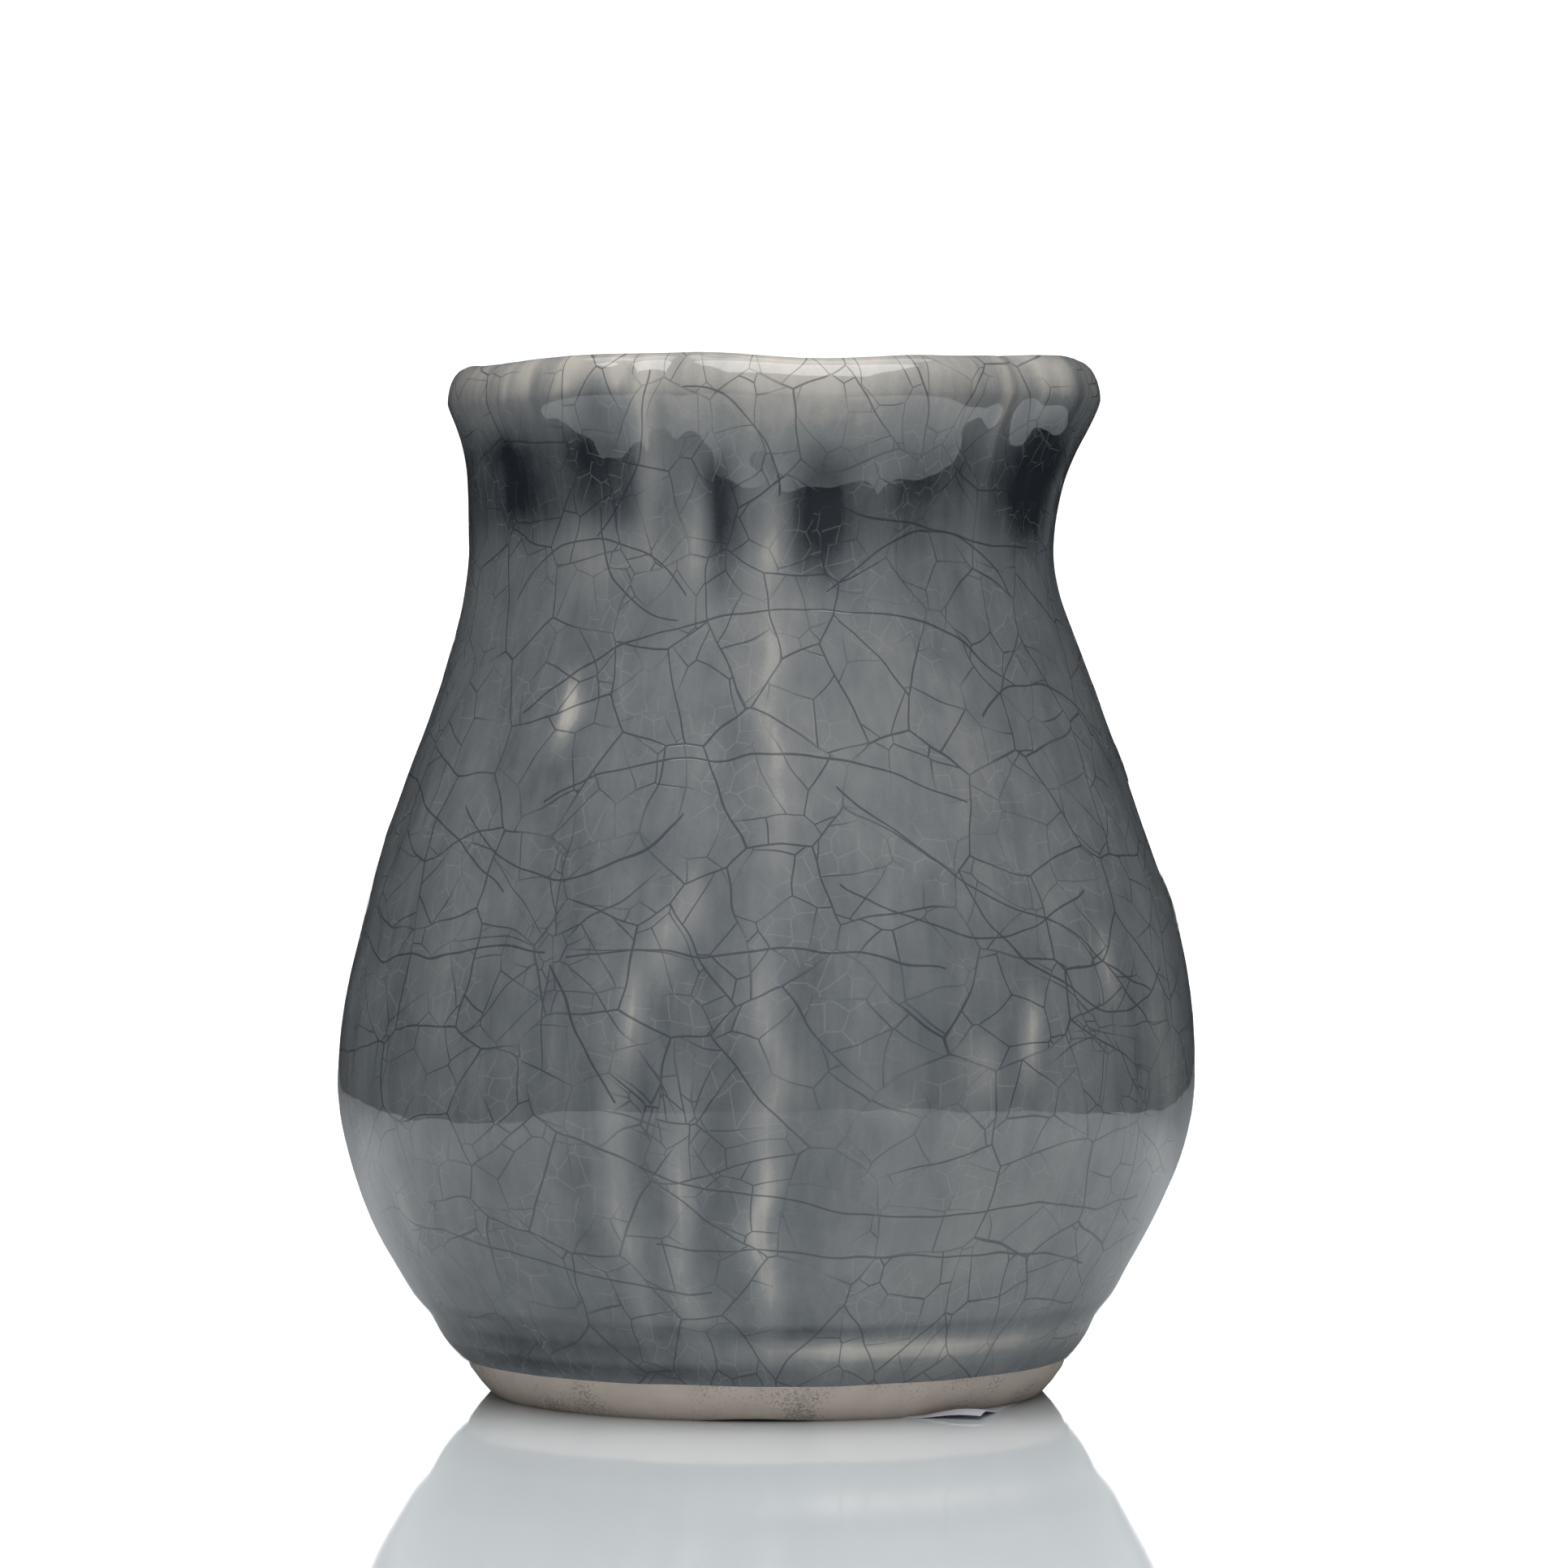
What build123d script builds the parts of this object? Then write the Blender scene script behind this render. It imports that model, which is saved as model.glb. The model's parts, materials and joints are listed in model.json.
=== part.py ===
"""Thrown stoneware vase with a full belly, a drawn-in neck and a lobed mouth.

Lengths are in millimetres. +Z is up, the foot rests on Z = 0 and the Z axis
is the axis that the pot was thrown on. The front of the pot faces -Y, and an
angle round the pot is counted in degrees from the front towards +X.

The pot is one piece of fired clay with two coats of glaze fused to it: the
outer coat stops short of the foot and meets the lining on the crest of the
lip. A blank paper label is caught under the foot.
"""
from build123d import *
from dataclasses import dataclass
from math import cos, hypot, pi, radians, sin
import os

# Clay, outside: radii and the rises from one to the next
FOOT_RADIUS = 34.2
BELLY_RADIUS = 52.6
NECK_RADIUS = 35.7
RIM_RADIUS = 40.1
BELLY_HEIGHT = 39.0
NECK_RISE = 65.0
MOUTH_RISE = 17.8
LIP_RISE = 4.2

# Fullness of the outer line: how far it holds its direction as it leaves each place
FOOT_HOLD = (8.9, 12.0)    # leaning out over the foot
BELLY_HOLD_BELOW = 13.0
BELLY_HOLD_ABOVE = 24.0
NECK_HOLD_BELOW = 12.4
NECK_HOLD_ABOVE = 10.5
RIM_HOLD = 1.5

# Clay, thickness
WALL = 4.6
FLOOR = 6.0
LIP_WIDTH = 5.2
FLOOR_STEP = 14.2          # how far the flat floor stops short of the foot's radius
FLOOR_CORNER = 7.0         # how far wall and floor run on into the rounded corner

# Underside of the foot
FOOT_BEVEL = 0.45
FOOT_RING = 7.2            # width of the ring that the pot stands on
RECESS_DEPTH = 0.6

# Glaze
GLAZE = 0.4
BARE_BAND = 3.4

# Blank paper label caught under the foot
LABEL_LENGTH = 30.0
LABEL_WIDTH = 20.0
LABEL_THICKNESS = 0.15
LABEL_CORNER_RADIUS = 1.5
LABEL_REACH = 7.0          # from the foot's edge out to the label's corner
LABEL_ANGLE = 38.0         # angle round the pot at which the corner shows
LABEL_TURN = 36.0          # how far the label is turned about that corner

# Marks of the hand: (height, depth) of the rings left by throwing
THROWING_RINGS = ((5.0, 0.2), (10.2, 0.5))
RING_REACH = 2.6
# Sways of the wall to the right, as (height, reach, shift)
SWAYS = ((17.0, 15.0, -0.55), (57.0, 14.0, 0.4), (104.0, 17.0, -0.75), (122.0, 12.0, 0.65))

# Lobes of the mouth: the lip is pressed in between one lobe and the next
CREASE_ANGLES = (-20.0, 48.0, 120.0, 192.0, 264.0)
CREASE_DEPTH = 1.5
CREASE_REACH_ROUND = 12.0
CREASE_REACH_UP = 26.0

# How finely the pot is lofted
LOOP_POINTS = 48
BAND_STEPS = 3
OUTSIDE_STEPS = 34
INSIDE_STEPS = 22
LIP_STEPS = 8
CORNER_STEPS = 6
CROWDING = 1.3             # more than 1 crowds the loops towards the foot

NECK_HEIGHT = BELLY_HEIGHT + NECK_RISE
RIM_HEIGHT = NECK_HEIGHT + MOUTH_RISE
LIP_HEIGHT = RIM_HEIGHT + LIP_RISE
FLOOR_RADIUS = FOOT_RADIUS - FLOOR_STEP
RECESS_RADIUS = FOOT_RADIUS - FOOT_RING


@dataclass(frozen=True)
class Press:
    """A press of the potter's fingers, which carries the soft wall with it."""

    angle: float
    height: float
    reach_round: float
    reach_up: float
    outward: float = 0.0
    upward: float = 0.0


PRESSES = [
    Press(angle, LIP_HEIGHT, CREASE_REACH_ROUND, CREASE_REACH_UP, outward=-CREASE_DEPTH)
    for angle in CREASE_ANGLES
] + [
    Press(72.0, LIP_HEIGHT, 34.0, 22.0, outward=0.3, upward=1.0),
    Press(9.0, LIP_HEIGHT, 15.0, 18.0, upward=-0.7),
    Press(-62.0, LIP_HEIGHT, 16.0, 18.0, upward=-0.4),
    Press(155.0, LIP_HEIGHT, 30.0, 20.0, upward=-0.5),
    Press(-150.0, LIP_HEIGHT, 26.0, 20.0, upward=0.4),
]


def fade(distance):
    """Smooth fall from 1 at no distance to 0 at a distance of 1."""
    rest = max(0.0, 1.0 - abs(distance))
    return rest * rest * (3.0 - 2.0 * rest)


def mix(start, end, share):
    """The value a share of the way from start to end."""
    return start + (end - start) * share


def placed(radius, height, angle):
    """The point of the wall at an angle, after rings, sways and presses."""
    radius -= sum(depth * fade((height - z) / RING_REACH) for z, depth in THROWING_RINGS)
    sway = sum(shift * fade((height - z) / reach) for z, reach, shift in SWAYS)
    outward = 0.0
    upward = 0.0
    for press in PRESSES:
        turn = (angle - press.angle + 180.0) % 360.0 - 180.0
        round_share = radians(turn) * RIM_RADIUS / press.reach_round
        weight = fade(hypot(round_share, (height - press.height) / press.reach_up))
        outward += press.outward * weight
        upward += press.upward * weight
    reach = radius + outward
    return Vector(reach * sin(radians(angle)) + sway, -reach * cos(radians(angle)), height + upward)


def loop(radius, height):
    """One closed loop round the pot."""
    points = [placed(radius, height, 360.0 * i / LOOP_POINTS) for i in range(LOOP_POINTS)]
    knots = [i / LOOP_POINTS for i in range(LOOP_POINTS + 1)]
    return Wire([Edge.make_spline(points, parameters=knots, periodic=True)])


def outside_curve():
    """The outer line of the clay, from the foot to the widest part of the rim."""
    foot = Vector(FOOT_RADIUS, 0.0)
    belly = Vector(BELLY_RADIUS, BELLY_HEIGHT)
    neck = Vector(NECK_RADIUS, NECK_HEIGHT)
    rim = Vector(RIM_RADIUS, RIM_HEIGHT)
    return Wire([
        Bezier(foot, foot + FOOT_HOLD, belly - (0.0, BELLY_HOLD_BELOW), belly),
        Bezier(belly, belly + (0.0, BELLY_HOLD_ABOVE), neck - (0.0, NECK_HOLD_BELOW), neck),
        Bezier(neck, neck + (0.0, NECK_HOLD_ABOVE), rim - (0.0, RIM_HOLD), rim),
    ])


OUTSIDE = outside_curve()


def share_at(height):
    """The share of the outer line at which it reaches a height."""
    low = 0.0
    high = 1.0
    for _ in range(40):
        middle = (low + high) / 2.0
        if (OUTSIDE @ middle).Y < height:
            low = middle
        else:
            high = middle
    return low


def inset(share, depth):
    """The point square to the outer line at a share of it, a depth into the wall."""
    point = OUTSIDE @ share
    along = OUTSIDE % share
    return (point.X - along.Y * depth, point.Y + along.X * depth)


def outside_stations(coat):
    """Stations up the outer line, swollen by a coat, from the glaze line to the rim."""
    line = share_at(BARE_BAND)
    shares = [mix(line, 1.0, (i / OUTSIDE_STEPS) ** CROWDING) for i in range(OUTSIDE_STEPS)]
    return [inset(share, -coat) for share in shares]


def lip_stations(coat, first, last):
    """Stations over the half oval of the lip, from its outer towards its inner side."""
    middle = RIM_RADIUS - LIP_WIDTH / 2.0
    turns = [pi * i / LIP_STEPS for i in range(first, last + 1)]
    half = LIP_WIDTH / 2.0 + coat
    rise = LIP_RISE + coat
    return [(middle + half * cos(turn), RIM_HEIGHT + rise * sin(turn)) for turn in turns]


def wall_at(share):
    """The thickness of the wall, which swells to the width of the lip."""
    return mix(WALL, LIP_WIDTH, fade((RIM_HEIGHT - (OUTSIDE @ share).Y) / MOUTH_RISE))


def inside_stations(coat):
    """Stations down the inner line and round its corner to the flat floor."""
    low = share_at(FLOOR + WALL)
    shares = [mix(1.0, low, i / INSIDE_STEPS) for i in range(1, INSIDE_STEPS)]
    stations = [inset(share, wall_at(share) + coat) for share in shares]
    wall_end = Vector(*inset(low, WALL + coat))
    floor_end = Vector(FLOOR_RADIUS, FLOOR + coat)
    along = OUTSIDE % low
    corner = Bezier(
        wall_end,
        wall_end - Vector(along.X, along.Y) * FLOOR_CORNER,
        floor_end + (FLOOR_CORNER, 0.0),
        floor_end,
    )
    points = [corner @ (i / CORNER_STEPS) for i in range(CORNER_STEPS + 1)]
    return stations + [(point.X, point.Y) for point in points]


def skin(stations):
    """The faces of a smooth skin laid through the loops at its stations."""
    return Shell.make_loft([loop(radius, height) for radius, height in stations]).faces()


def strip(first, second):
    """The faces of a straight strip between the loops at two stations."""
    return Shell.make_loft([loop(*first), loop(*second)], ruled=True).faces()


def disc(station):
    """The flat face that closes the loop at a station."""
    return [Face(loop(*station))]


@dataclass(frozen=True)
class Skin:
    """The stations of one skin of the pot: the bare clay's, or that of its coat."""

    coat: float

    def outer(self):
        """Stations from the glaze line up to the crest of the lip."""
        return outside_stations(self.coat) + lip_stations(self.coat, 0, LIP_STEPS // 2)

    def inner(self):
        """Stations from the crest of the lip down to the edge of the floor."""
        return lip_stations(self.coat, LIP_STEPS // 2, LIP_STEPS) + inside_stations(self.coat)


CLAY = Skin(0.0)
COAT = Skin(GLAZE)


def closed(*groups):
    """The solid that groups of faces enclose."""
    return Solid(Shell([face for group in groups for face in group]))


def label():
    """The blank label, flat under the foot with one corner showing in front."""
    sheet = Rectangle(LABEL_LENGTH, LABEL_WIDTH, align=(Align.MIN, Align.MIN))
    sheet = fillet(sheet.vertices(), LABEL_CORNER_RADIUS)
    corner = Pos(Y=-(FOOT_RADIUS + LABEL_REACH)) * Rot(Z=LABEL_TURN)
    return extrude(Rot(Z=LABEL_ANGLE) * corner * sheet, LABEL_THICKNESS)


def stoneware_body():
    """The fired clay, with its bevelled foot, shallow recess and relief for the label."""
    sole = (FOOT_RADIUS - FOOT_BEVEL, 0.0)
    low, line = share_at(FOOT_BEVEL), share_at(BARE_BAND)
    band = [inset(mix(low, line, i / BAND_STEPS), 0.0) for i in range(BAND_STEPS + 1)]
    outer, inner = CLAY.outer(), CLAY.inner()
    clay = closed(
        disc(sole), strip(sole, band[0]), skin(band), skin(outer), skin(inner), disc(inner[-1])
    )
    recess = extrude(Circle(RECESS_RADIUS), RECESS_DEPTH, taper=45)
    return clay - recess - label()


def outer_glaze():
    """The outer coat, from the bare band above the foot to the crest of the lip."""
    clay, coat = CLAY.outer(), COAT.outer()
    return closed(skin(coat), strip(clay[0], coat[0]), strip(clay[-1], coat[-1]), skin(clay))


def lining_glaze():
    """The coat inside, from the crest of the lip over the whole floor."""
    clay, coat = CLAY.inner(), COAT.inner()
    return closed(
        strip(clay[0], coat[0]), skin(coat), disc(coat[-1]), skin(clay), disc(clay[-1])
    )


def main():
    """Writes each piece as a STEP file of its own."""
    os.makedirs("parts", exist_ok=True)
    pieces = {
        "stoneware_body": stoneware_body(),
        "outer_glaze": outer_glaze(),
        "lining_glaze": lining_glaze(),
        "base_label": label(),
    }
    for name, piece in pieces.items():
        export_step(piece, f"parts/{name}.step")
        print(name, round(piece.volume, 1), len(piece.solids()))


main()
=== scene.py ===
"""Looks of a thrown stoneware vase with a lobed mouth and a crackle glaze.

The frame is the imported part's, in metres: +Z is up, the foot rests on Z = 0 and
the front of the pot faces -Y. An angle round the pot is counted in degrees from
the front towards +X. The pot's own sizes, its pushes, runs and cracks are in
millimetres, as a potter would give them, and MM turns them into metres.
"""

import json
import logging
import math
from dataclasses import dataclass
from enum import Enum
from itertools import pairwise
from typing import Any, Callable, Sequence

import bmesh
import bpy
import numpy as np
from mathutils import Matrix, Vector

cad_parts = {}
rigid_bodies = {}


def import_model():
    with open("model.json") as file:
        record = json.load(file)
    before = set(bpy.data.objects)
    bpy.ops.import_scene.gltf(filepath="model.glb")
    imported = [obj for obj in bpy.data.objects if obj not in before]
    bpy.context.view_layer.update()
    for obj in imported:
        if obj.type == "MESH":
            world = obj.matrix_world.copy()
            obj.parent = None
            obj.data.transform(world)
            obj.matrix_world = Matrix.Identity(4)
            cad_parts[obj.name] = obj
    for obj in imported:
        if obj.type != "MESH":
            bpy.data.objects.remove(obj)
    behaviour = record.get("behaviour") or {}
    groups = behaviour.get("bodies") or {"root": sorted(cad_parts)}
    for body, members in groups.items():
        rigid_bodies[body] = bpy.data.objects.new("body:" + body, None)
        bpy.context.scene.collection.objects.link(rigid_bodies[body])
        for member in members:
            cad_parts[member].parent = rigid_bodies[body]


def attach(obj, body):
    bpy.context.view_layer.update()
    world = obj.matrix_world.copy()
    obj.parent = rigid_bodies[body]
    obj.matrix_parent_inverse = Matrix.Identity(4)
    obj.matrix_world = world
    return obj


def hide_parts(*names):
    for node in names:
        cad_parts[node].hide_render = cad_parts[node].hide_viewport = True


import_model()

MM = 0.001
LOG = logging.getLogger("vase")

Place = tuple[float, float]
Colour = tuple[float, float, float, float]
Piece = bpy.types.Object
Tree = bpy.types.NodeTree
# A node stands for its first output
Signal = bpy.types.Node | bpy.types.NodeSocket

# The radius that the wall is unrolled at, to lay cracks and runs on it
UNROLL_RADIUS = 46.0
# The vertex attribute that says how thin the glaze lies, with painted shade, a painted highlight and a
# painted reflection laid into it as well
FLOW = "glaze_flow_and_painted_light"


class Shade(Enum):
    """How a piece takes the light from face to face."""

    SMOOTH = "smooth"
    BY_ANGLE = "by_angle"


# ---------------------------------------------------------------- colour and nodes


def linear(code: str) -> Colour:
    """Turns an sRGB hex colour into the linear colour that nodes take.

    Args:
        code: Six hex digits after a hash sign.

    Returns:
        Linear red, green and blue, and full opacity.
    """
    shares = [int(code[i : i + 2], 16) / 255.0 for i in (1, 3, 5)]
    red, green, blue = (
        share / 12.92 if share <= 0.04045 else ((share + 0.055) / 1.055) ** 2.4 for share in shares
    )
    return red, green, blue, 1.0


def add_node(
    tree: Tree, kind: str, inputs: dict[int | str, Any] | None = None, **settings: Any
) -> bpy.types.Node:
    """Adds a node, sets its options and fills or links its inputs.

    Args:
        tree: The node tree that takes the node.
        kind: The node's type name, without the ShaderNode that they all start with.
        inputs: Values or signals, by input name or number.
        **settings: Options set on the node itself.

    Returns:
        The new node.
    """
    node = tree.nodes.new("ShaderNode" + kind)
    for option, value in settings.items():
        setattr(node, option, value)
    for key, value in (inputs or {}).items():
        if isinstance(value, bpy.types.Node):
            value = value.outputs[0]
        if isinstance(value, bpy.types.NodeSocket):
            tree.links.new(value, node.inputs[key])
        else:
            node.inputs[key].default_value = value
    return node


def times(tree: Tree, first: Signal, second: Signal | float) -> Signal:
    """Multiplies two values."""
    return add_node(tree, "Math", {0: first, 1: second}, operation="MULTIPLY")


def new_material(name: str) -> tuple[bpy.types.Material, Tree]:
    """Starts an empty node material.

    Args:
        name: The finish's name.

    Returns:
        The material and its cleared node tree.
    """
    material = bpy.data.materials.new(name)
    material.use_nodes = True
    material.node_tree.nodes.clear()
    return material, material.node_tree


def close_material(tree: Tree, inputs: dict[str, Any]) -> None:
    """Ends a material with its shader and output.

    Args:
        tree: The material's nodes.
        inputs: What the shader takes, by input name.
    """
    shader = add_node(tree, "BsdfPrincipled", inputs)
    add_node(tree, "OutputMaterial", {"Surface": shader})


# ---------------------------------------------------------------- finishes


@dataclass(frozen=True)
class Crack:
    """One long crack of the glaze: an arc through three places on the wall.

    Each place is (angle in degrees, height in mm). The arc runs from the first
    to the last and is drawn on the unrolled wall.
    """

    start: Place
    middle: Place
    end: Place

    def circle(self) -> tuple[Vector, float]:
        """Finds the circle through the three places.

        Returns:
            The circle's centre and its radius, in mm.
        """
        a, b, c = (unrolled(*place) for place in (self.start, self.middle, self.end))
        twice = 2.0 * (a.x * (b.y - c.y) + b.x * (c.y - a.y) + c.x * (a.y - b.y))
        squares = [point.length_squared for point in (a, b, c)]
        x = squares[0] * (b.y - c.y) + squares[1] * (c.y - a.y) + squares[2] * (a.y - b.y)
        y = squares[0] * (c.x - b.x) + squares[1] * (a.x - c.x) + squares[2] * (b.x - a.x)
        centre = Vector((x / twice, y / twice, 0.0))
        return centre, (a - centre).length


def unrolled(angle: float, height: float) -> Vector:
    """Gives the place on the unrolled wall, in mm, of an angle and a height."""
    return Vector((math.radians(angle) * UNROLL_RADIUS, height, 0.0))


# The long cracks, laid out as rising arcs over the shoulder, level ones
# on the belly and a few round the back
LONG_CRACKS = (
    Crack((-43, 84), (0, 96), (48, 88)),
    Crack((-36, 73.5), (-8, 79), (31, 74.5)),
    Crack((-52, 97), (-29, 104.5), (-14, 98)),
    Crack((3, 112), (24, 106), (62, 102)),
    Crack((12, 98.5), (34, 104), (52, 97)),
    Crack((-80, 55.5), (-62, 54.5), (-31, 55.5)),
    Crack((-28, 55), (4, 56), (22, 53.5)),
    Crack((-17, 32), (18, 25.5), (63, 26.5)),
    Crack((-63, 25), (-28, 17.5), (-9, 16.5)),
    Crack((-16, 22.5), (14, 20.5), (56, 19)),
    Crack((10, 76), (33, 62), (62, 51)),
    Crack((37, 84), (54, 88), (76, 71)),
    Crack((-30, 54), (-24, 45), (-19, 38)),
    Crack((2, 110), (-2, 118), (-15, 123)),
    Crack((-33, 105), (-24, 116), (-22, 125)),
    Crack((-88, 78), (-60, 71), (-40, 62)),
    Crack((70, 66), (104, 74), (150, 68)),
    Crack((84, 40), (118, 33), (166, 37)),
    Crack((-166, 52), (-130, 60), (-92, 53)),
    Crack((-170, 90), (-138, 97), (-98, 88)),
    Crack((96, 96), (132, 90), (172, 98)),
    Crack((-160, 24), (-125, 19), (-90, 26)),
)

# Where the glaze took a knock, cracks spread like the spokes of a wheel:
# (angle, height, reach in mm, spokes)
CRACK_STARS = (
    (-30, 56, 17.0, 8),
    (-11, 37, 9.0, 6),
    (50, 47, 12.0, 7),
    (150, 60, 15.0, 8),
    (-120, 44, 14.0, 7),
)

# Knots of the finest cracks: (angle, height, reach in mm)
CRACK_KNOTS = (
    (-30, 55.5, 7.0),
    (-13, 38.0, 6.5),
    (-8, 36.5, 4.5),
    (48, 47, 5.5),
    (57, 38, 5.5),
    (150, 60, 6.0),
)


@dataclass
class Crazing:
    """The cracks of one glaze: long arcs, stars, two stained nets and a fine raised one.

    They are drawn among the nodes of a material, on the unrolled wall.
    """

    tree: Tree
    wall: Signal
    # Each net of cracks: the size of its cells and the width of its lines in mm,
    # then the grain and the two noise levels of the patches that it shows in
    coarse: tuple[float, ...] = (11.5, 0.17, 16.0, 0.2, 0.5)
    middling: tuple[float, ...] = (6.2, 0.13, 11.0, 0.3, 0.62)
    fine: tuple[float, ...] = (3.0, 0.12, 9.0, 0.42, 0.6)
    long_width: float = 0.18
    spoke_width: float = 0.13
    # Where a star's spokes begin and are whole, away from its middle
    hub: Place = (1.5, 3.5)

    def draw(self) -> tuple[Signal, Signal]:
        """Draws all the cracks.

        Returns:
            The stained lines and the fine raised lines.
        """
        coarse, inside = self._cells(self.wall, *self.coarse[:2])
        middling, inside = self._cells(inside, *self.middling[:2])
        fine, _ = self._cells(inside, *self.fine[:2])
        knots = self._stronger(*(self._knot(*knot) for knot in CRACK_KNOTS))
        stained = self._stronger(
            *(self._long_crack(crack) for crack in LONG_CRACKS),
            *(self._star(*star) for star in CRACK_STARS),
            self._patches(coarse, self.coarse),
            self._patches(middling, self.middling),
            times(self.tree, fine, knots),
        )
        return stained, self._patches(fine, self.fine)

    def _line(self, distance: Signal, width: float) -> Signal:
        """Turns a distance in mm into a line of a width, 1 at its middle."""
        inputs = {0: distance, 1: width * 0.35, 2: width, 3: 1.0, 4: 0.0}
        return add_node(self.tree, "MapRange", inputs, interpolation_type="SMOOTHSTEP")

    def _stronger(self, *lines: Signal) -> Signal:
        """Keeps the strongest of several lines.

        Args:
            *lines: The lines.

        Returns:
            The strongest one's value.
        """
        strongest = lines[0]
        for line in lines[1:]:
            strongest = add_node(self.tree, "Math", {0: strongest, 1: line}, operation="MAXIMUM")
        return strongest

    def _long_crack(self, crack: Crack) -> Signal:
        """Draws one long crack on the unrolled wall.

        Args:
            crack: The crack to draw.

        Returns:
            The crack's line, 1 at its middle.
        """
        centre, radius = crack.circle()
        start, end = unrolled(*crack.start), unrolled(*crack.end)
        inputs = {0: self.wall, 1: centre}
        away = add_node(self.tree, "VectorMath", inputs, operation="DISTANCE").outputs[1]
        off_arc = add_node(self.tree, "Math", {0: away, 1: radius}, operation="SUBTRACT")
        distance = add_node(self.tree, "Math", {0: off_arc}, operation="ABSOLUTE")
        half_way = {0: self.wall, 1: (start + end) / 2.0}
        from_middle = add_node(self.tree, "VectorMath", half_way, operation="SUBTRACT")
        towards = {0: from_middle, 1: (end - start).normalized()}
        along = add_node(self.tree, "VectorMath", towards, operation="DOT_PRODUCT").outputs[1]
        reach = add_node(self.tree, "Math", {0: along}, operation="ABSOLUTE")
        within = add_node(self.tree, "Math", {0: reach, 1: (end - start).length / 2.0}, operation="LESS_THAN")
        return times(self.tree, self._line(distance, self.long_width), within)

    def _cells(self, wall: Signal, size: float, width: float) -> tuple[Signal, Signal]:
        """Draws one net of cracks and shifts the wall inside each of its cells.

        The shift differs from cell to cell, so the next, finer net stops at
        this one's cracks, as real crazing does.

        Args:
            wall: The wall, as the coarser net left it.
            size: The cell size in mm.
            width: The width of its cracks in mm.

        Returns:
            The net's lines and the shifted wall.
        """
        net = {"Vector": wall, "Scale": 1.0 / size, "Randomness": 0.92}
        edges, cells = (
            add_node(self.tree, "TexVoronoi", net, voronoi_dimensions="2D", feature=feature)
            for feature in ("DISTANCE_TO_EDGE", "F1")
        )
        distance = times(self.tree, edges.outputs["Distance"], size)
        jump = {0: cells.outputs["Color"], 1: (size * 9.0, size * 7.0, 0.0), 2: wall}
        return self._line(distance, width), add_node(self.tree, "VectorMath", jump, operation="MULTIPLY_ADD")

    def _patches(self, lines: Signal, net: Sequence[float]) -> Signal:
        """Keeps a net's lines in soft patches of noise.

        Args:
            lines: The net's lines.
            net: The net's sizes, whose last three say where it shows.

        Returns:
            The lines that are left.
        """
        grain, low, high = net[2:]
        speckle = {"Vector": self.wall, "Scale": 1.0 / grain, "Detail": 1.0}
        noise = add_node(self.tree, "TexNoise", speckle, noise_dimensions="2D")
        shown = add_node(self.tree, "MapRange", {0: noise, 1: low, 2: high, 3: 0.0, 4: 1.0})
        return times(self.tree, lines, shown)

    def _star(self, angle: float, height: float, reach: float, spokes: int) -> Signal:
        """Draws cracks that spread from one place like the spokes of a wheel.

        Args:
            angle: The centre's angle in degrees.
            height: The centre's height in mm.
            reach: How far the spokes reach, in mm.
            spokes: How many there are.

        Returns:
            The spokes' lines, 1 at their middle.
        """
        centre = {0: self.wall, 1: unrolled(angle, height)}
        offset = add_node(self.tree, "VectorMath", centre, operation="SUBTRACT")
        away = add_node(self.tree, "VectorMath", {0: offset}, operation="LENGTH").outputs[1]
        parts = add_node(self.tree, "SeparateXYZ", {0: offset})
        turn = add_node(self.tree, "Math", {0: parts.outputs[1], 1: parts.outputs[0]}, operation="ARCTAN2")
        wave = add_node(self.tree, "Math", {0: times(self.tree, turn, spokes / 2.0)}, operation="SINE")
        beside = add_node(self.tree, "Math", {0: wave}, operation="ABSOLUTE")
        arc = times(self.tree, beside, times(self.tree, away, 2.0 / spokes))
        within = add_node(self.tree, "MapRange", {0: away, 1: reach * 0.7, 2: reach, 3: 0.9, 4: 0.0})
        hub = add_node(self.tree, "MapRange", {0: away, 1: self.hub[0], 2: self.hub[1], 3: 0.0, 4: 1.0})
        spread = times(self.tree, within, hub)
        return times(self.tree, self._line(arc, self.spoke_width), spread)

    def _knot(self, angle: float, height: float, reach: float) -> Signal:
        """Marks the patch of one knot of fine cracks.

        Args:
            angle: The knot's angle in degrees.
            height: Its height in mm.
            reach: Its reach in mm.

        Returns:
            The patch, strongest in its middle.
        """
        centre = {0: self.wall, 1: unrolled(angle, height)}
        away = add_node(self.tree, "VectorMath", centre, operation="DISTANCE").outputs[1]
        return add_node(self.tree, "MapRange", {0: away, 1: reach * 0.45, 2: reach, 3: 0.9, 4: 0.0})


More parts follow.
